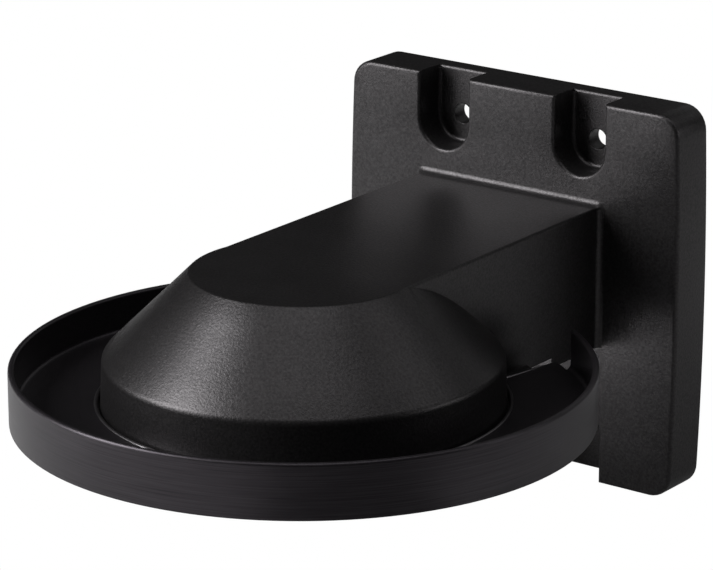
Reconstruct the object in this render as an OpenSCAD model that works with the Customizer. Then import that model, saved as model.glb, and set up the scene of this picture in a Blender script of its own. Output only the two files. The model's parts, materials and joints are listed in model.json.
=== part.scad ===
// Wall bracket with a round dish: a hollow cast wall plate, arm and cone carry a shallow dish and,
// underneath, a twist-lock adapter plate that a dome-shaped device bolts to.
// Origin: on the wall plate's back face, in the middle of the four wall screws. +Z is up, +Y points into
// the wall.
// Millimetres.

/* [Wall plate] */
// Width of the wall plate at its top and bottom edges
plate_w = 112.8; // [108:0.2:116]
// How far each side of the wall plate bows out at mid height
side_bow = 1; // [0:0.2:2.4]
// Height of the wall plate
plate_h = 113.7; // [110:0.1:118]
// Height of the wall screws' middle above the wall plate's middle
plate_drop = 0.6; // [0:0.1:1.5]
// Thickness of the wall plate
plate_t = 15; // [14:0.5:18]
// Corner radius of the wall plate
plate_corner = 7; // [5:0.5:10]
// Rounding of the wall plate's front edge
plate_edge = 1.2; // [0.6:0.2:2]
// Thickness of the cast walls
wall = 3; // [2.5:0.25:3.5]

/* [Screw recesses] */
// Distance between the left and right wall screws
hole_span_x = 47; // [46:1:50]
// Distance between the upper and lower wall screws
hole_span_z = 85; // [82:1:87]
// Diameter of a wall screw hole
hole_d = 6; // [4.5:0.5:6.5]
// Radius of a screw recess
recess_r = 8.6; // [7.5:0.1:9]
// Thickness of metal left under a screw head
pad_t = 5; // [4:0.5:6]

/* [Arm] */
// Width of the arm
arm_w = 62; // [60:1:64]
// Height of the arm's flat top above the middle of the wall screws
arm_top = 26; // [25:0.5:28]
// Distance from the front of the wall plate to the centre of the dish
reach = 98; // [96:1:104]
// Fillet between the arm and the wall plate
arm_fillet = 2.2; // [1:0.2:3]
// Length of the deeper stretch of the arm next to the wall plate
root_len = 23.4; // [22:0.2:26]

/* [Cone and drum] */
// Radius of the drum under the cone
drum_r = 54.8; // [54:0.1:55.2]
// Rounding between the cone and the drum
cone_edge = 2.5; // [1:0.25:4]
// Radius of the flange that the dish rests on
flange_r = 69.4; // [69:0.1:72]
// Height of the casting's underside
cast_bottom = -12.9; // [-13.5:0.1:-12]

/* [Dish] */
// Outer radius of the dish
dish_r = 80; // [79:0.5:84]
// Height of the dish's rim
rim_top = 0.5; // [-1:0.25:3]
// Height of the rim's lower edge
rim_bottom = -15; // [-16:0.25:-14]
// Thickness of the rim
rim_t = 1.9; // [1.5:0.1:2.5]
// Thickness of the dish's floor
floor_t = 1.2; // [1.2:0.1:2]
// Radius of the opening round the drum
opening_r = 56; // [55.8:0.1:57]
// Half width, at the opening, of the slot in the floor that straddles the arm
slot_half = 33.4; // [33:0.1:36]
// Angle by which each side of the slot opens towards the wall
slot_flare = 10.5; // [0:0.5:12]
// Half width of the gap in the rim behind the arm
gap_half = 44; // [42:0.5:46]

/* [Adapter plate] */
// Radius of the adapter plate
adapter_r = 59.5; // [58:0.5:60]
// Thickness of the adapter plate
adapter_t = 2.9; // [2.8:0.1:3.2]
// Distance between the device nuts, which form a square
nut_span = 60; // [56:1:62]
// Twist that releases the adapter plate, in degrees
twist = 18; // [14:1:20]
// Diameter of the cable hole in the grommet
cable_d = 10; // [8:1:12]

/* [Hidden] */
$fn = 96;
arm_half = arm_w / 2;
dish_y = -(plate_t + reach);
arm_edge = 0.8;
corner_y = arm_top - (drum_r - arm_half);
drum_draft = 0.5;
flange_t = 1.4;
flange_top = cast_bottom + flange_t;
floor_top = flange_top + floor_t;
root_bottom = cast_bottom - 3;
cavity_half = arm_half - wall;
cavity_floor = cast_bottom + wall;
cavity_roof = arm_top - wall;
drum_in = drum_r - wall;
recess_edge = 1;
recess_fillet = 1.2;
fillet_sink = 0.04;
rim_in = dish_r - rim_t;
floor_fillet = 1.4;
lip_edge = 0.8;
slot_edge = 0.7;
slot_y = sqrt(pow(opening_r, 2) - pow(slot_half, 2));

// Back of the wall plate
seal_out = 2.2;
seal_in = 4.8;
seal_t = 2;
cavity_inset = 7;
rib_t = 3;
rib_low = 8;
boss_r = 4.5;

// Fasteners: the radius of an M4 and an M3 tapping hole, and the play that keeps solids apart
m4_r = 1.65;
m3_r = 1.25;
play = 0.02;

// Twist lock
adapter_gap = 0.1;
adapter_top = cast_bottom - adapter_gap;
adapter_bottom = adapter_top - adapter_t;
lock_r = 47.8;
lock_boss_r = 4.6;
lock_boss_top = -1;
lock_depth = 9;
head_r = 4;
head_t = 1.4;
head_floor = adapter_top - 1.2;
shoulder_r = 2.5;
slot_play = 0.3;
washer_t = 0.5;
cord_mid_r = drum_r - 1.45;
cord_room = 0.85;

// Standoffs that hold the dish
stand_r = 64.6;
stand_angles = [-125, -50, 50, 125];
stand_body_r = 3;
stand_hole_r = 3.2;
stand_bottom = cast_bottom + 0.1;
spigot_r = 2.4;
spigot_t = 0.7;

// Conduit plug under the arm's root
plug_y = -(plate_t + root_len / 2) - 0.3;
plug_r = 7.4;
plug_head_r = 9.6;
plug_head_t = 3;

// Grommet
grommet_hole_r = 14;
grommet_lip = 3;
grommet_lip_t = 1.5;

// Cable saddle
saddle_z = -29;
saddle_w = 10;
saddle_screw_x = 11;
saddle_post = 4;
saddle_foot_t = 2;
saddle_in_r = 4.2;
saddle_out_r = 6.2;

// Lanyard
lanyard_r = 34;
wire_r = 0.9;
lanyard_z = 1;
anchor_angle = -50;
free_angle = 75;
anchor_post_r = 4.2;
eye_r = 3.4;
ferrule_len = 7;
eye_span = asin(eye_r / lanyard_r);

// Snap hook on the lanyard's free end
hook_wire = 1.1;
hook_r = 3.2;
hook_leg = 5.5;
hook_drop = 1.1;
lug_r = 1.4;
lug_t = 0.9;
gate_wire = 0.8;
gate_pin_r = 0.45;
gate_tip_gap = 0.2;

// Earth screw
earth_x = 40;
earth_z = 6;

// ---------- helpers ----------

// Points along an arc, from angle a0 to a1 in n steps
function arc(cx, cy, r, a0, a1, n) =
    [for (i = [0:n]) [cx + r * cos(a0 + (a1 - a0) * i / n), cy + r * sin(a0 + (a1 - a0) * i / n)]];

// Half width of the plate's outline at height z above its middle, moved in by inset
function side_x(z, inset) =
    plate_w / 2 - inset + side_bow * (1 - pow(z / (plate_h / 2 - plate_corner), 2));

// Outline of the wall plate: straight top and bottom, rounded corners, bowed sides
function plate_outline(inset) =
    let (r = max(plate_corner - inset, 1), cx = plate_w / 2 - inset - r, cz = plate_h / 2 - inset - r)
    let (side = [for (i = [1:11]) let (z = cz * (i / 6 - 1)) [side_x(z, inset), z]])
    let (right = concat(arc(cx, -cz, r, -90, 0, 8), side, arc(cx, cz, r, 0, 90, 8)))
    let (n = len(right) - 1)
    let (whole = concat(right, [for (i = [n:-1:0]) [-right[i][0], right[i][1]]]))
    [for (p = whole) [p[0], p[1] - plate_drop]];

// Children drawn as seen facing the wall; their +Z then leaves the wall
module on_wall() {
    rotate([90, 0, 0]) children();
}

// Children moved to the dish's axis
module on_dish() {
    translate([0, dish_y, 0]) children();
}

// Children placed round the dish's axis; 0 is the front, positive angles go to the right
module around(angle, r) {
    on_dish() rotate(angle) translate([0, -r, 0]) children();
}

// Children placed at the wall screws of the upper row (1) and the lower row (-1), which is upside down
module wall_screws(rows = [-1, 1]) {
    for (x = [-1, 1], z = rows)
        translate([x * hole_span_x / 2, z * hole_span_z / 2, 0]) mirror([0, (1 - z) / 2, 0]) children();
}

// Section of a concave fillet of radius f that starts ro from its axis, sunk a little into its neighbours
module fillet_section(ro, f) {
    c = f - fillet_sink;
    polygon(concat([[ro - 0.5, -0.5], [ro + c, -0.5]], arc(ro + c, c, f, 270, 180, 8), [[ro - 0.5, c]]));
}

// What an outside edge rounded to radius r loses; the corner is at the origin
module edge_section(r) {
    polygon(concat([[0.5, 0.5], [-r, 0.5]], arc(-r, -r, r, 90, 0, 6), [[0.5, -r]]));
}

// Round head with a six-point socket, its flat face up at the origin
module socket_head(r, t, socket) {
    difference() {
        translate([0, 0, -t]) cylinder(r = r, h = t);
        translate([0, 0, -t - 0.5]) cylinder(r = socket, h = t * 0.65 + 0.5, $fn = 6);
    }
}

// ---------- bracket casting ----------

module plate_solid() {
    on_wall() hull()
        for (i = [0:4]) let (a = i * 90 / 4)
            linear_extrude(plate_t - plate_edge + plate_edge * sin(a))
                polygon(plate_outline(plate_edge * (1 - cos(a))));
}

module recess_profile() {
    polygon(concat(
        [[0, pad_t]],
        arc(recess_r - recess_fillet, pad_t + recess_fillet, recess_fillet, -90, 0, 6),
        arc(recess_r + recess_edge, plate_t - recess_edge, recess_edge, 180, 90, 6),
        [[recess_r + recess_edge, plate_t + 1], [0, plate_t + 1]]));
}

// One screw recess with its hole, open at the plate's upper edge, which is run above the hole
module recess_cut(run) {
    rotate_extrude() recess_profile();
    translate([0, run + 1, 0]) rotate([90, 0, 0]) linear_extrude(run + 1) {
        recess_profile();
        mirror([1, 0]) recess_profile();
    }
    translate([-recess_r, run, pad_t]) rotate([90, 0, 90]) linear_extrude(2 * recess_r)
        edge_section(recess_edge);
    translate([0, 0, -1]) cylinder(d = hole_d, h = pad_t + 2);
}

// Metal kept round a recess on the plate's back
module recess_cup() {
    cup_r = recess_r + wall - 0.2;
    cylinder(r = cup_r, h = plate_t);
    translate([-cup_r, 0, 0]) cube([2 * cup_r, plate_h / 2 - hole_span_z / 2 + 2, plate_t]);
}

module plate_back_cut() {
    on_wall() difference() {
        translate([0, 0, -1]) linear_extrude(plate_t - wall + 1) polygon(plate_outline(cavity_inset));
        wall_screws() recess_cup();
        plate_ribs();
        translate([earth_x, 0, earth_z]) cylinder(r = boss_r, h = plate_t);
        for (x = [-1, 1]) translate([x * saddle_screw_x, saddle_z, plate_t - wall - saddle_post])
            cylinder(r = boss_r - 1, h = plate_t);
    }
    on_wall() translate([0, 0, -1]) linear_extrude(seal_t + 1) difference() {
        polygon(plate_outline(seal_out));
        polygon(plate_outline(seal_in));
    }
}

// Ribs that carry the arm's walls on into the plate, full depth beside the arm and low across it
module plate_ribs() {
    for (x = [-1, 1]) translate([x * (cavity_half + rib_t / 2) - rib_t / 2, -plate_h, 0])
        cube([rib_t, 2 * plate_h, plate_t]);
    for (z = [cavity_floor - rib_t, cavity_roof]) translate([-cavity_half, z, plate_t - wall - rib_low])
        cube([2 * cavity_half, rib_t, plate_t]);
}

module arm_section() {
    polygon(concat(
        [[-arm_half, cast_bottom], [arm_half, cast_bottom]],
        arc(arm_half - arm_edge, arm_top - arm_edge, arm_edge, 0, 90, 5),
        arc(-arm_half + arm_edge, arm_top - arm_edge, arm_edge, 90, 180, 5)));
}

module arm_solid() {
    on_wall() {
        translate([0, 0, plate_t - wall]) linear_extrude(reach + wall) arm_section();
        translate([-arm_half, root_bottom, plate_t - wall])
            cube([arm_w, cast_bottom - root_bottom + 1, root_len + wall]);
    }
}

// Fillet where the arm meets the plate: along the top, down both sides and round the two corners
module arm_root_fillet() {
    corner = arm_half - arm_edge;
    on_wall() translate([0, 0, plate_t]) {
        translate([-corner, arm_top, 0]) rotate([90, 0, 90]) linear_extrude(2 * corner)
            fillet_section(0, arm_fillet);
        for (x = [0, 1]) mirror([x, 0, 0]) {
            translate([arm_half, arm_top - arm_edge, 0]) rotate([90, 0, 0])
                linear_extrude(arm_top - arm_edge - root_bottom) fillet_section(0, arm_fillet);
            translate([corner, arm_top - arm_edge, 0]) rotate_extrude(angle = 90)
                intersection() {
                    fillet_section(arm_edge, arm_fillet);
                    square(10);
                }
        }
    }
}

module head_profile() {
    slope_run = tan(22.5);
    polygon(concat(
        [[0, arm_top]],
        arc(arm_half - arm_edge * slope_run, arm_top - arm_edge, arm_edge, 90, 45, 3),
        arc(drum_r - cone_edge, corner_y - cone_edge * slope_run, cone_edge, 45, 0, 5),
        [[drum_r + drum_draft, flange_top], [flange_r, flange_top]],
        [[flange_r, cast_bottom], [0, cast_bottom]]));
}

module head_cavity_profile() {
    roof_r = drum_in - (cavity_roof - 1);
    polygon([[0, cast_bottom - 1], [drum_in, cast_bottom - 1], [drum_in, 1], [roof_r, cavity_roof],
        [0, cavity_roof]]);
}

module casting_cavities() {
    on_dish() rotate_extrude() head_cavity_profile();
    on_wall() translate([-cavity_half, cavity_floor, plate_t - wall - 1])
        cube([2 * cavity_half, cavity_roof - cavity_floor, reach + wall + 1]);
}

// Posts inside the drum that the twist-lock screws and the lanyard's screw go into
module casting_posts() {
    for (a = [0:90:270]) around(a, lock_r) translate([0, 0, cast_bottom])
        cylinder(r = lock_boss_r, h = lock_boss_top - cast_bottom);
    around(anchor_angle, lanyard_r) translate([0, 0, lanyard_z + wire_r])
        cylinder(r = anchor_post_r, h = cavity_roof);
}

module casting_holes() {
    for (a = [0:90:270]) around(a, lock_r) translate([0, 0, cast_bottom - 1])
        cylinder(r = m4_r, h = lock_depth + 1);
    around(anchor_angle, lanyard_r) translate([0, 0, lanyard_z]) cylinder(r = m4_r, h = 8);
    for (a = stand_angles) around(a, stand_r) translate([0, 0, cast_bottom - 1])
        cylinder(r = stand_hole_r, h = flange_t + 2);
    on_dish() translate([0, 0, cast_bottom - 1]) difference() {
        cylinder(r = cord_mid_r + cord_room, h = 2.3);
        translate([0, 0, -1]) cylinder(r = cord_mid_r - cord_room, h = 5);
    }
    translate([0, plug_y, root_bottom - 1]) cylinder(r = plug_r, h = cavity_floor - root_bottom + 2);
    on_wall() {
        translate([earth_x, 0, earth_z - 1]) cylinder(r = m4_r, h = 7.5);
        for (x = [-1, 1]) translate([x * saddle_screw_x, saddle_z, plate_t - wall - saddle_post - 1])
            cylinder(r = m3_r, h = 6.5);
    }
}

module bracket_casting() {
    color([0.09, 0.09, 0.1]) difference() {
        union() {
            difference() {
                union() {
                    plate_solid();
                    arm_solid();
                    arm_root_fillet();
                    on_dish() rotate_extrude() head_profile();
                }
                casting_cavities();
                on_wall() for (z = [-1, 1])
                    wall_screws([z]) recess_cut(plate_h / 2 - hole_span_z / 2 - z * plate_drop);
                plate_back_cut();
            }
            intersection() {
                casting_posts();
                on_dish() rotate_extrude() head_profile();
            }
        }
        casting_holes();
    }
}

// ---------- pieces on the wall plate ----------

module wall_gasket() {
    color([0.16, 0.16, 0.17]) on_wall() linear_extrude(seal_t) difference() {
        polygon(plate_outline(seal_out + 0.1));
        polygon(plate_outline(seal_in - 0.1));
    }
}

module earth_screw() {
    color([0.72, 0.72, 0.7]) on_wall() translate([earth_x, 0, 0]) {
        translate([0, 0, earth_z - 0.8]) socket_head(head_r, 2.4, 1.7);
        translate([0, 0, earth_z - 1]) cylinder(r = m4_r - play, h = 7);
    }
}

module earth_washer() {
    color([0.75, 0.6, 0.3]) on_wall() translate([earth_x, 0, earth_z - 0.8]) linear_extrude(0.8)
        difference() {
            circle(r = 4.4);
            circle(r = 2.15);
            for (i = [0:11]) rotate(i * 30) translate([4.4, 0]) circle(r = 0.45);
        }
}

module cable_saddle() {
    seat = plate_t - wall - saddle_post;
    color([0.2, 0.2, 0.21]) on_wall() difference() {
        translate([0, saddle_z + saddle_w / 2, 0]) rotate([90, 0, 0]) linear_extrude(saddle_w)
            difference() {
                union() {
                    translate([-saddle_screw_x - 4, seat - saddle_foot_t])
                        square([2 * saddle_screw_x + 8, saddle_foot_t]);
                    translate([0, seat]) circle(r = saddle_out_r);
                }
                translate([0, seat]) circle(r = saddle_in_r);
                translate([-20, seat]) square([40, 20]);
            }
        for (x = [-1, 1]) translate([x * saddle_screw_x, saddle_z, 0]) cylinder(r = 1.7, h = plate_t);
    }
}

module saddle_screws() {
    top = plate_t - wall - saddle_post - saddle_foot_t;
    color([0.72, 0.72, 0.7]) on_wall() for (x = [-1, 1]) translate([x * saddle_screw_x, saddle_z, top]) {
        socket_head(2.8, 1.8, 1.2);
        translate([0, 0, -0.2]) cylinder(r = m3_r - play, h = 7);
    }
}

// ---------- conduit plug ----------

module conduit_plug() {
    color([0.1, 0.1, 0.11]) translate([0, plug_y, root_bottom]) difference() {
        union() {
            translate([0, 0, -plug_head_t]) rotate_extrude() polygon(concat(
                [[0, 0]], arc(plug_head_r - 0.8, 0.8, 0.8, -90, 0, 5),
                [[plug_head_r, plug_head_t], [0, plug_head_t]]));
            translate([0, 0, -0.5]) cylinder(r = plug_r - play, h = cavity_floor - root_bottom + 0.5);
        }
        translate([0, 0, -plug_head_t - 1]) cylinder(r = 5, h = 6, $fn = 6);
        translate([0, 0, -1.2]) difference() {
            cylinder(r = plug_r + 1.7, h = 2);
            translate([0, 0, -1]) cylinder(r = plug_r - play, h = 4);
        }
    }
}

module conduit_seal() {
    color([0.05, 0.05, 0.05]) translate([0, plug_y, root_bottom - 0.6]) rotate_extrude()
        translate([plug_r + 0.8, 0]) circle(r = 0.6);
}

// ---------- dish ----------

module tray_profile() {
    polygon(concat(
        arc(dish_r - 0.3, rim_bottom + 0.3, 0.3, -90, 0, 3),
        arc(dish_r - rim_t / 2, rim_top - rim_t / 2, rim_t / 2, 0, 180, 12),
        arc(rim_in - floor_fillet, floor_top + floor_fillet, floor_fillet, 0, -90, 8),
        arc(opening_r + lip_edge, floor_top - lip_edge, lip_edge, 90, 180, 5),
        [[opening_r, flange_top], [rim_in, flange_top], [rim_in, rim_bottom]]));
}

// Half of the floor's slot for the arm, with its upper edge rounded
module half_slot() {
    translate([slot_half, slot_y, 0]) rotate(-slot_flare) {
        translate([-dish_r, -slot_y, flange_top - 1]) cube([dish_r, 2 * dish_r, floor_t + 2]);
        translate([0, -slot_y, floor_top]) rotate([90, 0, 180]) linear_extrude(2 * dish_r)
            edge_section(slot_edge);
    }
}

module dish_tray() {
    color([0.12, 0.12, 0.13]) on_dish() difference() {
        rotate_extrude() tray_profile();
        for (x = [0, 1]) mirror([x, 0, 0]) intersection() {
            half_slot();
            translate([-1, 0, -dish_r]) cube([dish_r, dish_r + 1, 2 * dish_r]);
        }
        difference() {
            translate([-gap_half, 0, rim_bottom - 1]) cube([2 * gap_half, dish_r + 1, 20]);
            translate([0, 0, rim_bottom - 2]) cylinder(r = rim_in - floor_fillet - 0.3, h = 30);
        }
        for (a = stand_angles) rotate(a) translate([0, -stand_r, flange_top - 1])
            cylinder(r = spigot_r, h = spigot_t + 1);
    }
}

module tray_standoffs() {
    color([0.7, 0.7, 0.68]) for (a = stand_angles) around(a, stand_r) difference() {
        union() {
            translate([0, 0, stand_bottom]) cylinder(r = stand_body_r, h = flange_top - stand_bottom);
            translate([0, 0, stand_bottom])
                cylinder(r = spigot_r - play, h = flange_top + spigot_t - stand_bottom);
        }
        translate([0, 0, stand_bottom - 1]) cylinder(r = m3_r, h = flange_t + spigot_t + 2);
    }
}

module tray_washers() {
    color([0.7, 0.7, 0.68]) for (a = stand_angles) around(a, stand_r) translate([0, 0, cast_bottom - 0.8])
        difference() {
            cylinder(r = 4.4, h = 0.8);
            translate([0, 0, -1]) cylinder(r = 1.6, h = 3);
        }
}

module tray_screws() {
    top = cast_bottom - 0.8;
    color([0.72, 0.72, 0.7]) for (a = stand_angles) around(a, stand_r) translate([0, 0, top]) {
        socket_head(2.8, 1.6, 1.2);
        translate([0, 0, -0.2]) cylinder(r = m3_r - play, h = 2.8);
    }
}

// ---------- adapter plate ----------

module adapter_seal() {
    color([0.05, 0.05, 0.05]) on_dish() rotate_extrude()
        translate([cord_mid_r, cast_bottom + 0.6]) circle(r = 0.68);
}

// An arc slot that ends in a round entry hole; r is the slot's half width
module keyhole(r, entry_r, h) {
    rotate_extrude(angle = twist) translate([lock_r - r, 0]) square([2 * r, h]);
    translate([lock_r, 0, 0]) cylinder(r = r, h = h);
    rotate(twist) translate([lock_r, 0, 0]) cylinder(r = entry_r, h = h);
}

module adapter_plate() {
    head_room = head_r + slot_play;
    color([0.35, 0.35, 0.37]) on_dish() translate([0, 0, adapter_bottom]) difference() {
        cylinder(r = adapter_r, h = adapter_t);
        translate([0, 0, -1]) cylinder(r = grommet_hole_r, h = adapter_t + 2);
        for (a = [0:90:270]) rotate(a) mirror([0, 1, 0]) {
            translate([0, 0, -1]) keyhole(shoulder_r + slot_play, head_room, adapter_t + 2);
            translate([0, 0, -1]) keyhole(head_room, head_room, head_floor - adapter_bottom + 1);
        }
        for (a = [45:90:315]) rotate(a) translate([nut_span / 2 * sqrt(2), 0, -1])
            cylinder(r = 2.7, h = adapter_t + 2);
    }
}

module adapter_nuts() {
    color([0.72, 0.72, 0.7]) on_dish() for (a = [45:90:315]) rotate(a)
        translate([nut_span / 2 * sqrt(2), 0, adapter_bottom]) difference() {
            union() {
                cylinder(r = 2.7 - play, h = adapter_t);
                translate([0, 0, adapter_t]) cylinder(r = 4, h = 2.8);
            }
            translate([0, 0, -1]) cylinder(r = m4_r, h = 8);
        }
}

module cable_grommet() {
    top = adapter_t + grommet_lip_t;
    color([0.07, 0.07, 0.07]) on_dish() translate([0, 0, adapter_bottom]) rotate_extrude() difference() {
        polygon(concat(
            [[cable_d / 2, 0], [grommet_hole_r - play, 0], [grommet_hole_r - play, adapter_t]],
            arc(grommet_hole_r + grommet_lip - 0.7, adapter_t + 0.7, 0.7, -90, 90, 8),
            [[cable_d / 2 + 3, top], [cable_d / 2, adapter_t]]));
        for (r = [9, 12]) translate([r, 0]) circle(r = 0.7);
    }
}

module shoulder_screws() {
    color([0.72, 0.72, 0.7]) for (a = [90:90:270]) around(a, lock_r) {
        translate([0, 0, head_floor - 0.1]) socket_head(head_r, head_t, 1.7);
        translate([0, 0, head_floor - 0.2]) cylinder(r = shoulder_r, h = cast_bottom - head_floor + 0.2);
        translate([0, 0, cast_bottom - 0.1]) cylinder(r = m4_r - play, h = 8);
    }
}

module lock_washer() {
    color([0.72, 0.72, 0.7]) around(0, lock_r) translate([0, 0, head_floor - washer_t]) difference() {
        cylinder(r = head_r, h = washer_t);
        translate([0, 0, -1]) cylinder(r = m4_r + 0.05, h = 3);
    }
}

module lock_screw() {
    color([0.72, 0.72, 0.7]) around(0, lock_r) translate([0, 0, head_floor - washer_t]) {
        socket_head(head_r - 0.4, head_t - 0.3, 1.7);
        translate([0, 0, -0.2]) cylinder(r = m4_r - play, h = 9);
    }
}

// ---------- safety lanyard ----------

module lanyard_screw() {
    color([0.72, 0.72, 0.7]) around(anchor_angle, lanyard_r) translate([0, 0, lanyard_z - wire_r]) {
        socket_head(4.6, 2, 1.7);
        translate([0, 0, -0.2]) cylinder(r = m4_r - play, h = 8);
    }
}

// Wire arc round the drum's axis, with a loop at each end
module lanyard_wire() {
    start = anchor_angle + eye_span;
    stop = free_angle - eye_span;
    color([0.6, 0.6, 0.6]) union() {
        on_dish() translate([0, 0, lanyard_z]) rotate(start - 90)
            rotate_extrude(angle = stop - start) translate([lanyard_r, 0]) circle(r = wire_r, $fn = 24);
        for (a = [anchor_angle, free_angle]) around(a, lanyard_r) translate([0, 0, lanyard_z])
            rotate_extrude() translate([eye_r, 0]) circle(r = wire_r, $fn = 24);
    }
}

module lanyard_ferrules() {
    offset_angle = eye_span + 9;
    color([0.55, 0.55, 0.56]) for (a = [anchor_angle + offset_angle, free_angle - offset_angle])
        around(a, lanyard_r) translate([-ferrule_len / 2, 0, lanyard_z]) rotate([0, 90, 0]) difference() {
            cylinder(r = 2.2, h = ferrule_len);
            translate([0, 0, -1]) cylinder(r = wire_r + 0.35, h = ferrule_len + 2);
        }
}

// The hook's own frame: x along the lanyard, y up; it hangs through the lanyard's free loop
module in_hook() {
    around(free_angle, lanyard_r) translate([eye_r, 0, lanyard_z - hook_drop])
        rotate([90, 0, 0]) children();
}

module hook_body() {
    color([0.7, 0.7, 0.72]) in_hook() difference() {
        union() {
            difference() {
                union() {
                    rotate_extrude(angle = 180) translate([hook_r, 0]) circle(r = hook_wire, $fn = 32);
                    translate([-hook_r, 0, 0]) rotate([90, 0, 0]) cylinder(r = hook_wire, h = hook_leg);
                    translate([0, -hook_leg, 0]) rotate(180) rotate_extrude(angle = 180)
                        translate([hook_r, 0]) circle(r = hook_wire, $fn = 32);
                }
                translate([hook_r, -hook_leg, -5]) cylinder(r = lug_r + 0.2, h = 10);
            }
            translate([hook_r, -hook_leg, -lug_t / 2]) cylinder(r = lug_r, h = lug_t);
            translate([hook_r - 1, -hook_leg - lug_r - 0.9, -lug_t / 2]) cube([1.6, lug_r, lug_t]);
        }
        translate([hook_r, -hook_leg, -5]) cylinder(r = gate_pin_r, h = 10);
    }
}

module gate_pin() {
    color([0.6, 0.6, 0.62]) in_hook() translate([hook_r, -hook_leg, -hook_wire - 0.2])
        cylinder(r = gate_pin_r - 0.01, h = 2 * hook_wire + 0.4);
}

// Spring gate: two cheeks on the pin, a bridge above the lug and a straight wire up to the nose
module hook_gate() {
    cheek_in = lug_t / 2 + 0.1;
    cheek_t = hook_wire - cheek_in;
    color([0.7, 0.7, 0.72]) in_hook() translate([hook_r, -hook_leg, 0]) difference() {
        union() {
            for (s = [0, 1]) mirror([0, 0, s]) translate([0, 0, cheek_in]) {
                cylinder(r = lug_r - 0.2, h = cheek_t);
                translate([-gate_wire, 0, 0]) cube([2 * gate_wire, lug_r + 1, cheek_t]);
            }
            translate([-gate_wire, lug_r + 0.15, -hook_wire]) cube([2 * gate_wire, 0.85, 2 * hook_wire]);
            translate([0, lug_r + 0.5, 0]) rotate([-90, 0, 0])
                cylinder(r = gate_wire, h = hook_leg - lug_r - 0.5 - gate_tip_gap);
        }
        translate([0, 0, -5]) cylinder(r = gate_pin_r + 0.04, h = 10);
    }
}

bracket_casting();
wall_gasket();
earth_screw();
earth_washer();
cable_saddle();
saddle_screws();
conduit_plug();
conduit_seal();
dish_tray();
tray_standoffs();
tray_screws();
tray_washers();
adapter_seal();
shoulder_screws();
adapter_plate();
adapter_nuts();
cable_grommet();
lock_washer();
lock_screw();
lanyard_screw();
lanyard_wire();
lanyard_ferrules();
hook_body();
gate_pin();
hook_gate();
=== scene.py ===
"""Looks of the wall bracket: materials, the soft and fine pieces, a pale floor, studio lights and a camera.

Everything is in metres in the CAD frame: +Z up, +Y into the wall, the origin on the wall plate's back face.
"""

import json
import math

import bmesh
import bpy
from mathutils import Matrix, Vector


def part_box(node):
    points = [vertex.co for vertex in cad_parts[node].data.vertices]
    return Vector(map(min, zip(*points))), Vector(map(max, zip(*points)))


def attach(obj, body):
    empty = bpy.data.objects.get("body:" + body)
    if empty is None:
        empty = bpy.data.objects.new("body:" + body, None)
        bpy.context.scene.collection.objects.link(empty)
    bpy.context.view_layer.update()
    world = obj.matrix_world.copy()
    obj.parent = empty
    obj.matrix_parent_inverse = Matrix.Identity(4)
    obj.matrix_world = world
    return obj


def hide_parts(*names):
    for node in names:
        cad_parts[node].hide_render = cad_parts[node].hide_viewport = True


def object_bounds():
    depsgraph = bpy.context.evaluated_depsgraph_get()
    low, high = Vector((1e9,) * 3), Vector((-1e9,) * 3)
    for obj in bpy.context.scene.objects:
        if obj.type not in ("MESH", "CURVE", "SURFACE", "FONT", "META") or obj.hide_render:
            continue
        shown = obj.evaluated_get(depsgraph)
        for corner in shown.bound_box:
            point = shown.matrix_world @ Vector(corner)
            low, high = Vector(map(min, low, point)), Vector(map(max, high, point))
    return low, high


MM = 0.001
UP = Vector((0, 0, 1))

# camera and floor
CAMERA_TARGET = (-10.34, -75.09, 10.33)
CAMERA_DISTANCE = 1.0648
CAMERA_LENS = 192.6
CAMERA_AZIMUTH = 36.57
CAMERA_ELEVATION = 17.74
FLOOR_GAP = 4 * MM
FLOOR_HALF = 6.0

# looks
COAT_TINT = (1.0, 0.95, 0.98)
DISH_TINT = (0.98, 0.89, 1.0)
SMOOTH_BELOW = math.radians(32)

# the bead round the floor's opening
BEAD_R = 0.6 * MM
BEAD_INSET = 0.45 * MM
BEAD_SINK = 0.25 * MM
BEAD_RUN = 20 * MM
LIP_WITHIN = 58 * MM
SLOT_HALF = 33.4 * MM
SLOT_FLARE = math.radians(10.5)

# the lanyard and the grommet
LOOP_R = 3.4 * MM
LANYARD_SWEEP = math.radians(125)
STRAND_LAY = 7 * MM
CABLE_HOLE_R = 5 * MM

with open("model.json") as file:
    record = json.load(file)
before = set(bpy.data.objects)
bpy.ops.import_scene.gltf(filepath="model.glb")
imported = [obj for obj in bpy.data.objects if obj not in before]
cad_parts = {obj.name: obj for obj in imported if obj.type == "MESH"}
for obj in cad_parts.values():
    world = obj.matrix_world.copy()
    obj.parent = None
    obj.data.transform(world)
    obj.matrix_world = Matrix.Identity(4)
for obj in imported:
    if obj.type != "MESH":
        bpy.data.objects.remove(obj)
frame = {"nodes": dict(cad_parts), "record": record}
cad_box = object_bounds()
dish_low, dish_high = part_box("dish_tray")
dish_axis = (dish_low + dish_high) / 2
dish_axis.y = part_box("adapter_plate")[0].y / 2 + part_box("adapter_plate")[1].y / 2


# ---------- node helpers ----------

def add(tree, kind, inputs=None, **settings):
    """A new shader node. inputs maps a socket's name or number to a value or to a socket to link."""
    made = tree.nodes.new("ShaderNode" + kind)
    for name, value in settings.items():
        setattr(made, name, value)
    for key, value in (inputs or {}).items():
        if isinstance(value, bpy.types.NodeSocket):
            tree.links.new(value, made.inputs[key])
        else:
            made.inputs[key].default_value = value
    return made


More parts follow.
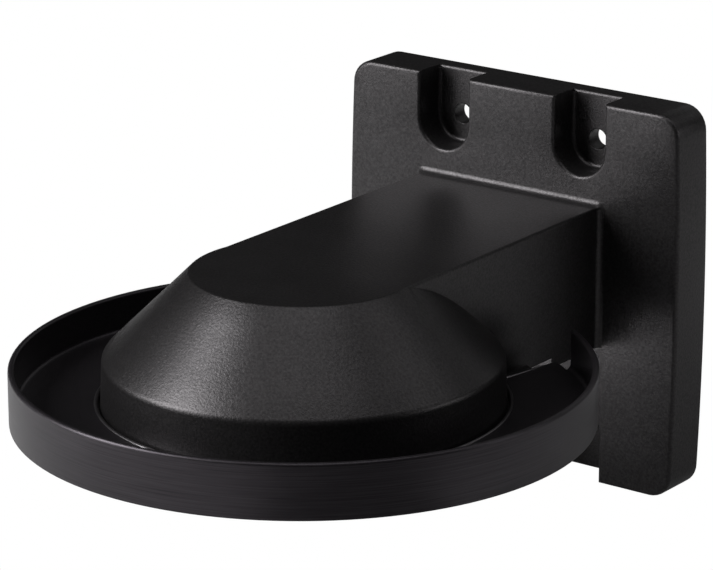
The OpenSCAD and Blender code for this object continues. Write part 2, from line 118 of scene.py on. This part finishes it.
def new_material(name):
    """A node material with a Principled shader. Returns (material, tree, shader, object coordinates)."""
    material = bpy.data.materials.new(name)
    material.use_nodes = True
    tree = material.node_tree
    tree.nodes.clear()
    shader = add(tree, "BsdfPrincipled")
    output = add(tree, "OutputMaterial")
    tree.links.new(shader.outputs[0], output.inputs[0])
    place = add(tree, "TexCoord").outputs["Object"]
    return material, tree, shader, place


def noise(tree, place, size, detail=2.0, rough=0.5):
    """Noise whose features are about size metres across, from 0 to 1."""
    made = add(tree, "TexNoise", {"Vector": place, "Scale": 1 / size, "Detail": detail, "Roughness": rough})
    return made.outputs["Fac"]


def remap(tree, value, low, high, from_low=0.3, from_high=0.7):
    """value, from its own range, taken to low..high and clamped."""
    inputs = {0: value, 1: from_low, 2: from_high, 3: low, 4: high}
    return add(tree, "MapRange", inputs, clamp=True).outputs[0]


def math_node(tree, operation, a, b=0.0):
    """One step of arithmetic on shader values."""
    return add(tree, "Math", {0: a, 1: b}, operation=operation).outputs[0]


def mix_colour(tree, share, a, b):
    """Colour a where share is 0 and b where it is 1."""
    made = add(tree, "Mix", {0: share}, data_type="RGBA")
    for socket, value in ((made.inputs[6], a), (made.inputs[7], b)):
        if isinstance(value, bpy.types.NodeSocket):
            tree.links.new(value, socket)
        else:
            socket.default_value = (*value, 1)
    return made.outputs[2]


def bump(tree, height, depth, under=None):
    """The surface pushed out by height times depth metres."""
    inputs = {"Height": height, "Distance": depth, "Strength": 1.0}
    if under is not None:
        inputs["Normal"] = under
    return add(tree, "Bump", inputs).outputs[0]


def rounded(tree, radius):
    """The normal with edges rounded to radius metres."""
    return add(tree, "Bevel", {"Radius": radius}, samples=4).outputs[0]


def round_axis(tree, place, axis):
    """Coordinates about a vertical axis: (angle in turns, height, level vector away from the axis)."""
    moved = add(tree, "VectorMath", {0: place, 1: axis}, operation="SUBTRACT").outputs[0]
    parts = add(tree, "SeparateXYZ", {0: moved})
    angle = math_node(tree, "ARCTAN2", parts.outputs[1], parts.outputs[0])
    turns = math_node(tree, "DIVIDE", angle, 2 * math.pi)
    flat = add(tree, "CombineXYZ", {0: parts.outputs[0], 1: parts.outputs[1]}).outputs[0]
    return turns, parts.outputs[2], flat


# ---------- materials ----------

def powder_coat():
    """Satin black powder coat: a fine pebbled grain that sparkles where it catches the light."""
    material, tree, shader, place = new_material("powder_coat")
    pebble = noise(tree, place, 0.7 * MM, 2.0, 0.6)
    fine = noise(tree, place, 0.3 * MM, 1.0)
    cloud = noise(tree, place, 14 * MM, 3.0)
    tone = remap(tree, pebble, 0.0065, 0.0105)
    patch = remap(tree, cloud, 0.9, 1.1)
    level = math_node(tree, "MULTIPLY", tone, patch)
    tree.links.new(mix_colour(tree, level, (0, 0, 0), COAT_TINT), shader.inputs["Base Color"])
    shader.inputs["Specular Tint"].default_value = (*COAT_TINT, 1)
    tree.links.new(remap(tree, fine, 0.32, 0.42), shader.inputs["Roughness"])
    tree.links.new(remap(tree, pebble, 0.38, 0.62), shader.inputs["Specular IOR Level"])
    under = bump(tree, pebble, 0.06 * MM, rounded(tree, 0.4 * MM))
    tree.links.new(bump(tree, fine, 0.02 * MM, under), shader.inputs["Normal"])
    return material


def brushed_black():
    """Black anodised aluminium: satin all over, with fine lines brushed round the rim's outer face."""
    material, tree, shader, place = new_material("brushed_black")
    turns, height, flat = round_axis(tree, place, dish_axis)
    outward = add(tree, "VectorMath", {0: flat}, operation="NORMALIZE").outputs[0]
    normal = add(tree, "NewGeometry").outputs["Normal"]
    facing = add(tree, "VectorMath", {0: outward, 1: normal}, operation="DOT_PRODUCT").outputs["Value"]
    outside = remap(tree, facing, 0.0, 1.0, 0.6, 0.9)
    upright = remap(tree, math_node(tree, "ABSOLUTE", facing), 0.0, 0.45, 0.6, 0.9)
    lines = []
    for round_count, pitch in ((11.0, 0.3 * MM), (30.0, 0.6 * MM)):
        along = math_node(tree, "MULTIPLY", turns, round_count)
        spot = add(tree, "CombineXYZ", {0: along, 1: math_node(tree, "DIVIDE", height, pitch)}).outputs[0]
        lines.append(add(tree, "TexNoise", {"Vector": spot, "Scale": 1.0, "Detail": 2.0}).outputs["Fac"])
    brush = math_node(tree, "ADD", math_node(tree, "MULTIPLY", lines[0], 0.6),
                      math_node(tree, "MULTIPLY", lines[1], 0.4))
    satin = noise(tree, place, 0.35 * MM, 2.0)
    surface = add(tree, "Mix", {0: outside, 2: satin, 3: brush}, data_type="FLOAT").outputs[0]
    level = remap(tree, surface, 0.006, 0.013)
    tree.links.new(mix_colour(tree, level, (0, 0, 0), DISH_TINT), shader.inputs["Base Color"])
    shader.inputs["Specular Tint"].default_value = (*DISH_TINT, 1)
    tree.links.new(remap(tree, surface, 0.30, 0.42), shader.inputs["Roughness"])
    tree.links.new(upright, shader.inputs["Anisotropic"])
    tree.links.new(remap(tree, surface, 0.35, 0.65), shader.inputs["Specular IOR Level"])
    up = add(tree, "CombineXYZ", {2: 1.0}).outputs[0]
    around = add(tree, "VectorMath", {0: up, 1: flat}, operation="CROSS_PRODUCT").outputs[0]
    tree.links.new(around, shader.inputs["Tangent"])
    tree.links.new(bump(tree, surface, 0.016 * MM, rounded(tree, 0.3 * MM)), shader.inputs["Normal"])
    return material


def plain(name, colour, roughness, grain_size, grain_depth, metal=0.0):
    """A surface with fine grain and faint clouds in its colour and roughness."""
    material, tree, shader, place = new_material(name)
    grain = noise(tree, place, grain_size, 2.0)
    cloud = noise(tree, place, 20 * grain_size, 3.0)
    light = [min(1.0, part * 1.2) for part in colour]
    dark = [part * 0.8 for part in colour]
    tree.links.new(mix_colour(tree, remap(tree, cloud, 0.0, 1.0), dark, light), shader.inputs["Base Color"])
    tree.links.new(remap(tree, grain, roughness - 0.06, roughness + 0.06), shader.inputs["Roughness"])
    shader.inputs["Metallic"].default_value = metal
    tree.links.new(bump(tree, grain, grain_depth, rounded(tree, 0.15 * MM)), shader.inputs["Normal"])
    return material


MATERIALS = {
    "powder_coat": powder_coat(),
    "brushed_black": brushed_black(),
    "plate_coat": plain("plate_coat", (0.02, 0.02, 0.022), 0.45, 0.5 * MM, 0.02 * MM),
    "steel": plain("steel", (0.55, 0.55, 0.54), 0.3, 0.3 * MM, 0.004 * MM, 1.0),
    "brass": plain("brass", (0.6, 0.42, 0.16), 0.3, 0.3 * MM, 0.004 * MM, 1.0),
    "nylon": plain("nylon", (0.018, 0.018, 0.019), 0.5, 0.4 * MM, 0.02 * MM),
    "seal_rubber": plain("seal_rubber", (0.012, 0.012, 0.012), 0.6, 0.3 * MM, 0.01 * MM),
    "gasket_foam": plain("gasket_foam", (0.03, 0.03, 0.032), 0.85, 0.5 * MM, 0.08 * MM),
    "wire_steel": plain("wire_steel", (0.5, 0.5, 0.5), 0.32, 0.2 * MM, 0.004 * MM, 1.0),
    "ferrule_aluminium": plain("ferrule_aluminium", (0.6, 0.6, 0.61), 0.35, 0.3 * MM, 0.004 * MM, 1.0),
}

# the material slot of each CAD node
SLOT_OF = {
    "bracket_casting": "powder_coat", "wall_gasket": "gasket_foam", "earth_screw": "steel",
    "earth_washer": "brass", "cable_saddle": "nylon", "saddle_screws": "steel", "conduit_plug": "nylon",
    "conduit_seal": "seal_rubber", "dish_tray": "brushed_black", "tray_standoffs": "steel",
    "tray_screws": "steel", "tray_washers": "steel", "adapter_seal": "seal_rubber",
    "shoulder_screws": "steel", "adapter_plate": "plate_coat", "adapter_nuts": "steel",
    "cable_grommet": "seal_rubber", "lock_washer": "steel", "lock_screw": "steel",
    "lanyard_screw": "steel", "lanyard_wire": "wire_steel", "lanyard_ferrules": "ferrule_aluminium",
    "hook_body": "wire_steel", "gate_pin": "steel", "hook_gate": "wire_steel",
}


# ---------- CAD nodes ----------

def smoothing(angle):
    """Geometry nodes that weld a mesh's seams and shade it smooth except across edges sharper than angle."""
    group = bpy.data.node_groups.new("weld_and_smooth", "GeometryNodeTree")
    for direction in ("INPUT", "OUTPUT"):
        group.interface.new_socket("Geometry", in_out=direction, socket_type="NodeSocketGeometry")
    start, end = group.nodes.new("NodeGroupInput"), group.nodes.new("NodeGroupOutput")
    weld = group.nodes.new("GeometryNodeMergeByDistance")
    weld.inputs["Distance"].default_value = 0.002 * MM
    smooth = group.nodes.new("GeometryNodeSetShadeSmooth")
    sharp = group.nodes.new("GeometryNodeSetShadeSmooth")
    sharp.domain = "EDGE"
    sharp.inputs["Shade Smooth"].default_value = False
    bend = group.nodes.new("GeometryNodeInputMeshEdgeAngle")
    compare = group.nodes.new("FunctionNodeCompare")
    compare.operation = "GREATER_THAN"
    compare.inputs["B"].default_value = angle
    links = group.links
    links.new(bend.outputs["Unsigned Angle"], compare.inputs["A"])
    links.new(compare.outputs[0], sharp.inputs["Selection"])
    links.new(start.outputs[0], weld.inputs[0])
    links.new(weld.outputs[0], smooth.inputs[0])
    links.new(smooth.outputs[0], sharp.inputs[0])
    links.new(sharp.outputs[0], end.inputs[0])
    return group


def dress_cad_nodes():
    """Gives every CAD node its slot's material and smooth shading."""
    for name, piece in frame["nodes"].items():
        custom = piece.data.attributes.get("custom_normal")
        if custom:
            piece.data.attributes.remove(custom)
        piece.data.materials.clear()
        piece.data.materials.append(MATERIALS[SLOT_OF[name]])
        piece.modifiers.new("smooth", "NODES").node_group = SMOOTHING


# ---------- mesh tools ----------

def skin(rings, closed=False):
    """Quads between successive rings of equally many points.
    Ends are filled unless the rings close on themselves."""
    count = len(rings[0])
    points = [point for ring in rings for point in ring]
    faces = []
    for i in range(len(rings) if closed else len(rings) - 1):
        here, there = i * count, (i + 1) % len(rings) * count
        for j in range(count):
            k = (j + 1) % count
            faces.append((here + j, here + k, there + k, there + j))
    if not closed:
        last = (len(rings) - 1) * count
        faces.append(tuple(reversed(range(count))))
        faces.append(tuple(range(last, last + count)))
    return points, faces


def joined(parts):
    """Several (points, faces) pairs as one."""
    points, faces = [], []
    for more_points, more_faces in parts:
        start = len(points)
        points += more_points
        faces += [tuple(start + i for i in face) for face in more_faces]
    return points, faces


def circle(radius, height, count=48):
    """Points round the Z axis; radius is a number or a function of the angle."""
    angles = [2 * math.pi * i / count for i in range(count)]
    reach = radius if callable(radius) else lambda angle: radius
    return [Vector((reach(a) * math.cos(a), reach(a) * math.sin(a), height)) for a in angles]


def lathe(profile, count=96):
    """A closed (distance, height) outline turned round the Z axis."""
    angles = [2 * math.pi * i / count for i in range(count)]
    rings = [[Vector((r * math.cos(a), r * math.sin(a), z)) for r, z in profile] for a in angles]
    return skin(rings, closed=True)


def hexagon(flat_radius):
    """Distance to a hexagon's edge as a function of the angle."""
    return lambda angle: flat_radius / math.cos((angle + math.pi / 6) % (math.pi / 3) - math.pi / 6)


def placed(part, spot, axis):
    """A part turned so that its +Z points along axis, then moved to spot."""
    turn = axis.to_track_quat("Z", "Y")
    points, faces = part
    return [turn @ point + spot for point in points], faces


def make_piece(name, part, slot, *nodes, keep=False):
    """A new piece in a slot's material that rides on its CAD nodes' body.
    It stands for those nodes, which are hidden, unless keep is set."""
    mesh = bpy.data.meshes.new(name)
    points, faces = part
    mesh.from_pydata([tuple(point) for point in points], [], faces)
    work = bmesh.new()
    work.from_mesh(mesh)
    bmesh.ops.recalc_face_normals(work, faces=work.faces)
    work.to_mesh(mesh)
    work.free()
    mesh.materials.append(MATERIALS[slot])
    piece = bpy.data.objects.new(name, mesh)
    bpy.context.scene.collection.objects.link(piece)
    piece.modifiers.new("smooth", "NODES").node_group = SMOOTHING
    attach(piece, body_of(nodes[0]))
    if not keep:
        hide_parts(*nodes)
    return piece


def body_of(node):
    """The name of the body that a CAD node belongs to."""
    return next(body for body, members in frame["record"]["behaviour"]["bodies"].items() if node in members)


def solids(node):
    """The corner points of each separate solid in a CAD node."""
    work = bmesh.new()
    work.from_mesh(frame["nodes"][node].data)
    bmesh.ops.remove_doubles(work, verts=work.verts, dist=0.001 * MM)
    left, found = set(work.verts), []
    while left:
        front, solid = [left.pop()], []
        while front:
            vert = front.pop()
            solid.append(vert.co.copy())
            near = {edge.other_vert(vert) for edge in vert.link_edges} & left
            left -= near
            front += near
        found.append(solid)
    work.free()

    def middle(solid):
        return tuple(round(sum(point[i] for point in solid) / len(solid), 5) for i in range(3))
    return sorted(found, key=middle)


# ---------- screws ----------

def screw(head_r, head_t, shoulder_r, shoulder_len, shank_r, shank_len, pitch):
    """A button-head screw with a six-point socket, a plain shoulder and a thread.
    The head's top is up and its underside at 0."""
    socket_r = head_r * 0.4
    dome = [(head_r * 0.96, 0), (head_r, head_t * 0.08), (head_r, head_t * 0.35)]
    dome += [(head_r * (0.62 + 0.38 * math.cos(a)), head_t * (0.35 + 0.65 * math.sin(a)))
             for a in (math.pi / 12 * step for step in range(1, 7))]
    rings = [circle(r, z) for r, z in dome]
    for flat_radius, depth in ((1.12, 0), (1.0, 0.1), (1.0, 0.6), (0.9, 0.62), (0.02, 0.75)):
        rings.append(circle(hexagon(socket_r * flat_radius), head_t * (1 - depth)))
    below = [circle(shoulder_r, 0), circle(shoulder_r, -shoulder_len)]
    steps = max(2, round(shank_len / pitch * 4))
    for step in range(1, steps + 1):
        z = -shank_len * step / steps
        fade = min(1.0, (shank_len + z) / pitch + 0.15)

        def thread(angle, z=z, fade=fade):
            turn = (z / pitch - angle / (2 * math.pi)) % 1.0
            return shank_r * (0.86 + 0.14 * fade * (1 - abs(2 * turn - 1)))
        below.append(circle(thread, z - shoulder_len))
    below.append(circle(shank_r * 0.6, -shank_len - shoulder_len))
    return skin(list(reversed(below)) + rings)


def fit_screws(node, axis, pitch):
    """Puts a screw in the place of each solid of a node. axis points out of the heads."""
    parts = []
    for solid in solids(node):
        heights = [point.dot(axis) for point in solid]
        middle = (Vector([min(p[i] for p in solid) for i in range(3)])
                  + Vector([max(p[i] for p in solid) for i in range(3)])) / 2
        wide = [(point - middle - axis * (point - middle).dot(axis)).length for point in solid]
        head_r = max(wide)
        tip = min(heights)
        under = min(h for h, r in zip(heights, wide) if r > 0.95 * head_r)
        shank_r = max(r for h, r in zip(heights, wide) if h < tip + 0.5 * MM)
        shoulder_end = min(h for h, r in zip(heights, wide) if r > 1.2 * shank_r)
        shoulder_r = max(r for h, r in zip(heights, wide) if h < shoulder_end + 0.1 * MM)
        if under - shoulder_end < 0.2 * MM:
            shoulder_end, shoulder_r = under - 0.1 * MM, shank_r
        seat = middle + axis * (under - middle.dot(axis))
        part = screw(head_r, max(heights) - under, shoulder_r, under - shoulder_end, shank_r,
                     shoulder_end - tip, pitch)
        parts.append(placed(part, seat, axis))
    make_piece(node + "_detail", joined(parts), SLOT_OF[node], node)


# ---------- wire, seals, grommet and gasket ----------

def tube(path, radius, count, closed=False):
    """A round tube along a path, with its rings turned as little as possible."""
    rings, side = [], None
    for i, point in enumerate(path):
        if closed:
            ahead = path[(i + 1) % len(path)] - path[i - 1]
        else:
            ahead = path[min(i + 1, len(path) - 1)] - path[max(i - 1, 0)]
        ahead = ahead.normalized()
        side = ahead.orthogonal() if side is None else side - ahead * side.dot(ahead)
        side.normalize()
        up = ahead.cross(side)
        angles = [2 * math.pi * j / count for j in range(count)]
        rings.append([point + (side * math.cos(a) + up * math.sin(a)) * radius for a in angles])
    return skin(rings, closed)


def rope(centre_line, out_from, radius, lay, closed=False):
    """Six strands wound round a straight core, one turn per lay metres.
    out_from gives the outward direction at a point of the line."""
    strand_r = radius / 3
    parts = [tube(centre_line, strand_r, 6, closed)]
    lengths = [0.0]
    for a, b in zip(centre_line, centre_line[1:]):
        lengths.append(lengths[-1] + (b - a).length)
    total = lengths[-1] + ((centre_line[0] - centre_line[-1]).length if closed else 0)
    winds = round(total / lay) if closed else total / lay
    for strand in range(6):
        path = []
        for point, length in zip(centre_line, lengths):
            angle = 2 * math.pi * (winds * length / total + strand / 6)
            path.append(point + (out_from(point) * math.cos(angle) + UP * math.sin(angle)) * 2 * strand_r)
        parts.append(tube(path, strand_r * 1.04, 6, closed))
    return joined(parts)


def lanyard():
    """The stranded wire: an arc round the dish's axis with a loop at each end."""
    low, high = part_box("lanyard_wire")
    wire_r = (high.z - low.z) / 2
    level = (low.z + high.z) / 2
    anchor_low, anchor_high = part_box("lanyard_screw")
    anchor = (anchor_low + anchor_high) / 2
    arm = Vector((anchor.x - dish_axis.x, anchor.y - dish_axis.y, 0))
    radius = arm.length
    first = math.atan2(arm.y, arm.x)
    last = first + LANYARD_SWEEP
    shrink = math.asin(LOOP_R / radius)
    axis = Vector((dish_axis.x, dish_axis.y, level))
    steps = 160
    angles = [first + shrink + (last - first - 2 * shrink) * i / steps for i in range(steps + 1)]
    arc = [axis + Vector((math.cos(a), math.sin(a), 0)) * radius for a in angles]
    parts = [rope(arc, lambda point: (point - axis).normalized(), wire_r, STRAND_LAY)]
    for angle in (first, last):
        centre = axis + Vector((math.cos(angle), math.sin(angle), 0)) * radius
        ring = [centre + point for point in circle(LOOP_R, 0, 56)]

        def outward(point, centre=centre):
            return (point - centre).normalized()
        parts.append(rope(ring, outward, wire_r, STRAND_LAY, closed=True))
    make_piece("lanyard_strands", joined(parts), "wire_steel", "lanyard_wire")


def cord_seal(node, name, flat):
    """A round cord ring, pressed flat by that share where it touches, with a fine moulding line round it."""
    low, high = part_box(node)
    cord = (high.z - low.z) / 2
    middle_r = (high.x - low.x) / 2 - cord
    profile = []
    for i in range(24):
        a = 2 * math.pi * i / 24
        line = 1.0 if i % 12 else 0.94
        height = max(-1 + flat, min(1 - flat, math.sin(a)))
        profile.append((middle_r + cord * line * math.cos(a), cord * height))
    part = lathe(profile, 192)
    make_piece(name, placed(part, (low + high) / 2, UP), SLOT_OF[node], node)


def grommet():
    """The rubber grommet: a lipped disc with a stepped, ribbed membrane round the cable hole."""
    low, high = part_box("cable_grommet")
    tall = high.z - low.z
    lip_r = (high.x - low.x) / 2
    plate_low, plate_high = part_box("adapter_plate")
    thick = plate_high.z - plate_low.z
    body_r = lip_r - 3 * MM
    hole_r = CABLE_HOLE_R
    outline = [(hole_r, 0.5 * MM), (hole_r + 0.25 * MM, 0.1 * MM), (hole_r + 0.7 * MM, 0), (6.6 * MM, 0)]
    for start in (7.2, 8.8, 10.4, 12.0):
        r = start * MM
        outline += [(r, 0), (r + 0.15 * MM, 0.45 * MM), (r + 0.75 * MM, 0.45 * MM), (r + 0.9 * MM, 0)]
    outline += [(body_r - 0.3 * MM, 0), (body_r, 0.3 * MM), (body_r, thick)]
    bead = (tall - thick) / 2
    outline += [(lip_r - bead + bead * math.cos(a), thick + bead + bead * math.sin(a))
                for a in (math.pi / 8 * step - math.pi / 2 for step in range(0, 9))]
    outline += [(hole_r + 3.2 * MM, tall), (hole_r + 2.6 * MM, tall - 0.25 * MM), (hole_r + 0.5 * MM, thick)]
    outline += [(hole_r, thick - 0.4 * MM)]
    part = lathe(outline, 144)
    spot = Vector(((low.x + high.x) / 2, (low.y + high.y) / 2, low.z))
    make_piece("grommet_rubber", placed(part, spot, UP), "seal_rubber", "cable_grommet")


def gasket():
    """The foam gasket: a strip with a crowned back that follows the wall plate's outline."""
    low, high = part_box("wall_gasket")
    middle = (low + high) / 2
    spots = {(round(v.co.x, 6), round(v.co.z, 6)) for v in frame["nodes"]["wall_gasket"].data.vertices}
    by_distance = sorted((edge_share(x, z, low, high), x, z) for x, z in spots)
    half = len(by_distance) // 2

    def in_order(found):
        loop = [Vector((x, 0, z)) for _, x, z in found]
        return sorted(loop, key=lambda p: math.atan2(p.z - middle.z, p.x - middle.x))
    inner, outer = in_order(by_distance[:half]), in_order(by_distance[half:])
    rings = []
    for far, near in zip(outer, inner):
        across, centre = (far - near) / 2, (far + near) / 2
        ring = []
        for i in range(16):
            a = 2 * math.pi * i / 16
            wide = math.copysign(abs(math.cos(a)) ** 0.5, math.cos(a))
            deep = math.copysign(abs(math.sin(a)) ** 0.4, math.sin(a))
            ring.append(centre + across * wide + Vector((0, middle.y + (high.y - low.y) / 2 * deep, 0)))
        rings.append(ring)
    make_piece("gasket_foam", skin(rings, closed=True), "gasket_foam", "wall_gasket")


def opening_bead():
    """The low bead that edges the floor's opening round the drum.
    It fades out along the slot for the arm."""
    vertices = [v.co - dish_axis for v in frame["nodes"]["dish_tray"].data.vertices]
    lip = [v for v in vertices if math.hypot(v.x, v.y) < LIP_WITHIN]
    opening_r = min(math.hypot(v.x, v.y) for v in lip)
    floor_top = max(v.z for v in lip) + dish_axis.z
    middle_r = opening_r + BEAD_INSET
    along = Vector((math.sin(SLOT_FLARE), math.cos(SLOT_FLARE), 0))
    corner = Vector((SLOT_HALF, math.sqrt(opening_r**2 - SLOT_HALF**2), 0)) + along.cross(UP) * BEAD_INSET
    back = along.dot(corner)
    corner += along * (math.sqrt(back**2 - corner.length_squared + middle_r**2) - back)
    half_turn = math.atan2(corner.x, -corner.y)
    side_steps, turn_steps = 12, 120
    shares = [i / side_steps for i in range(side_steps, 0, -1)]
    side = [corner + along * BEAD_RUN * share for share in shares]
    side_sink = [BEAD_SINK + (BEAD_R - BEAD_SINK) * share for share in shares]
    angles = [half_turn * (1 - 2 * i / turn_steps) for i in range(turn_steps + 1)]
    front = [Vector((math.sin(a), -math.cos(a), 0)) * middle_r for a in angles]
    far_side = [Vector((-point.x, point.y, 0)) for point in reversed(side)]
    sinks = side_sink + [BEAD_SINK] * len(front) + side_sink[::-1]
    place = Vector((dish_axis.x, dish_axis.y, floor_top))
    points = [place + point - UP * sink for point, sink in zip(side + front + far_side, sinks)]
    bead = make_piece("opening_bead", tube(points, BEAD_R, 20), "brushed_black", "dish_tray", keep=True)
    # The bead's metal is much lighter than the dish's black anodising. That is a painted highlight, which
    # brightens the real highlight the key light draws along the bead's rounded top.
    bead.data.materials[0] = plain("painted_highlight_edge", (0.2, 0.19, 0.2), 0.34, 0.3 * MM, 0.004 * MM, 1.0)


def edge_share(x, z, low, high):
    """How near a gasket outline point is to the edge of its box: 1 on the edge, less inside."""
    return max(abs(2 * x - low.x - high.x) / (high.x - low.x), abs(2 * z - low.z - high.z) / (high.z - low.z))


SMOOTHING = smoothing(SMOOTH_BELOW)
dress_cad_nodes()
fit_screws("earth_screw", Vector((0, 1, 0)), 0.7 * MM)
fit_screws("saddle_screws", Vector((0, 1, 0)), 0.5 * MM)
fit_screws("tray_screws", -UP, 0.5 * MM)
fit_screws("shoulder_screws", -UP, 0.7 * MM)
fit_screws("lock_screw", -UP, 0.7 * MM)
fit_screws("lanyard_screw", -UP, 0.7 * MM)
lanyard()
cord_seal("conduit_seal", "plug_o_ring", 0.08)
cord_seal("adapter_seal", "drum_o_ring", 0.04)
grommet()
gasket()
opening_bead()


# ---------- floor, lights and camera ----------

def from_angle(azimuth, elevation):
    """Unit vector towards a place; azimuth 0 is in front of the bracket and 90 to its right."""
    a, e = math.radians(azimuth), math.radians(elevation)
    return Vector((math.sin(a) * math.cos(e), -math.cos(a) * math.cos(e), math.sin(e)))


def look(thing, place, target):
    """Puts a camera or a light at place, aimed at target."""
    thing.location = place
    thing.rotation_mode = "QUATERNION"
    thing.rotation_quaternion = (target - place).to_track_quat("-Z", "Y")


def area_light(name, azimuth, elevation, distance, width, height, power):
    """A softbox of width by height metres, aimed at the object's middle from that angle and distance."""
    data = bpy.data.lights.new(name, "AREA")
    data.shape, data.size, data.size_y, data.energy = "RECTANGLE", width, height, power
    lamp = bpy.data.objects.new(name, data)
    bpy.context.scene.collection.objects.link(lamp)
    centre = (cad_box[0] + cad_box[1]) / 2
    look(lamp, centre + from_angle(azimuth, elevation) * distance, centre)


def bounce_card():
    """Light thrown back from the floor under the dish on to the lower part of the wall plate."""
    casting_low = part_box("bracket_casting")[0]
    under_dish = Vector((dish_low.x / 2, dish_axis.y, (casting_low.z + dish_low.z) / 2))
    plate_corner = Vector((dish_high.x / 2, -0.01, dish_low.z))
    data = bpy.data.lights.new("bounce", "AREA")
    data.shape, data.size, data.size_y, data.energy = "RECTANGLE", 0.08, 0.02, 0.03
    card = bpy.data.objects.new("bounce", data)
    card.visible_camera = False
    bpy.context.scene.collection.objects.link(card)
    look(card, under_dish, plate_corner)


def make_floor():
    """A pale floor that reads white in the picture, and isn't in the way of a view from below."""
    mesh = bpy.data.meshes.new("floor")
    z = cad_box[0].z - FLOOR_GAP
    corners = [(x * FLOOR_HALF, y * FLOOR_HALF, z) for x, y in ((-1, -1), (1, -1), (1, 1), (-1, 1))]
    mesh.from_pydata(corners, [], [(0, 1, 2, 3)])
    floor = bpy.data.objects.new("floor", mesh)
    bpy.context.scene.collection.objects.link(floor)
    material = bpy.data.materials.new("pale_floor")
    material.use_nodes = True
    tree = material.node_tree
    tree.nodes.clear()
    matte = add(tree, "BsdfDiffuse", {"Color": (0.75, 0.75, 0.75, 1)})
    glow = add(tree, "Emission", {"Color": (1, 1, 1, 1), "Strength": 1.0})
    clear = add(tree, "BsdfTransparent")
    path = add(tree, "LightPath")
    seen = add(tree, "MixShader", {0: path.outputs["Is Camera Ray"], 1: matte.outputs[0], 2: glow.outputs[0]})
    behind = add(tree, "NewGeometry").outputs["Backfacing"]
    both = add(tree, "MixShader", {0: behind, 1: seen.outputs[0], 2: clear.outputs[0]})
    output = add(tree, "OutputMaterial")
    tree.links.new(both.outputs[0], output.inputs[0])
    mesh.materials.append(material)


def dark_card(first, last, near, far):
    """A dark card on the floor, off camera, between two azimuths and two distances from the dish's axis.
    The rim's front mirrors it and goes dark there."""
    mesh = bpy.data.meshes.new("dark_card")
    height = Vector((dish_axis.x, dish_axis.y, cad_box[0].z - FLOOR_GAP / 2))
    sides = [height + from_angle(azimuth, 0) * reach for reach in (near, far) for azimuth in (first, last)]
    mesh.from_pydata([tuple(point) for point in sides], [], [(0, 1, 3, 2)])
    card = bpy.data.objects.new("dark_card", mesh)
    card.visible_camera = False
    bpy.context.scene.collection.objects.link(card)
    material = bpy.data.materials.new("dark_card")
    material.use_nodes = True
    tree = material.node_tree
    tree.nodes.clear()
    matte = add(tree, "BsdfDiffuse", {"Color": (0.2, 0.2, 0.2, 1)})
    output = add(tree, "OutputMaterial")
    tree.links.new(matte.outputs[0], output.inputs[0])
    mesh.materials.append(material)


def make_world(fill):
    """White behind the object, and a dim even light on it."""
    world = bpy.data.worlds.new("studio")
    bpy.context.scene.world = world
    world.use_nodes = True
    tree = world.node_tree
    tree.nodes.clear()
    path = add(tree, "LightPath")
    level = add(tree, "MapRange", {0: path.outputs["Is Camera Ray"], 1: 0.0, 2: 1.0, 3: fill, 4: 1.0})
    sky = add(tree, "Background", {"Color": (1, 1, 1, 1), "Strength": level.outputs[0]})
    output = add(tree, "OutputWorld")
    tree.links.new(sky.outputs[0], output.inputs[0])


def make_camera():
    """The three-quarter view from the front right, a little above."""
    data = bpy.data.cameras.new("camera")
    data.sensor_width = 36.0
    data.lens = CAMERA_LENS
    camera = bpy.data.objects.new("camera", data)
    bpy.context.scene.collection.objects.link(camera)
    target = Vector(CAMERA_TARGET) * MM
    look(camera, target + from_angle(CAMERA_AZIMUTH, CAMERA_ELEVATION) * CAMERA_DISTANCE, target)
    bpy.context.scene.camera = camera


make_floor()
dark_card(first=25, last=78, near=0.1, far=0.6)
make_world(fill=0.018)
# azimuth and elevation in degrees, then distance, width and height in metres, then power in watts
area_light("key", -45, 34, 1.1, 0.45, 0.6, 12)
area_light("key_low", -45, 12, 1.1, 0.6, 0.3, 3.4)
area_light("top", 40, 76, 1.2, 0.9, 0.6, 2.4)
area_light("right", 118, 14, 1.2, 0.6, 0.4, 1.2)
area_light("right_high", 130, 50, 1.2, 0.6, 0.6, 0.9)
area_light("back", 180, 24, 1.2, 0.9, 0.5, 0.4)
bounce_card()
make_camera()
bpy.context.scene.view_settings.view_transform = "Standard"
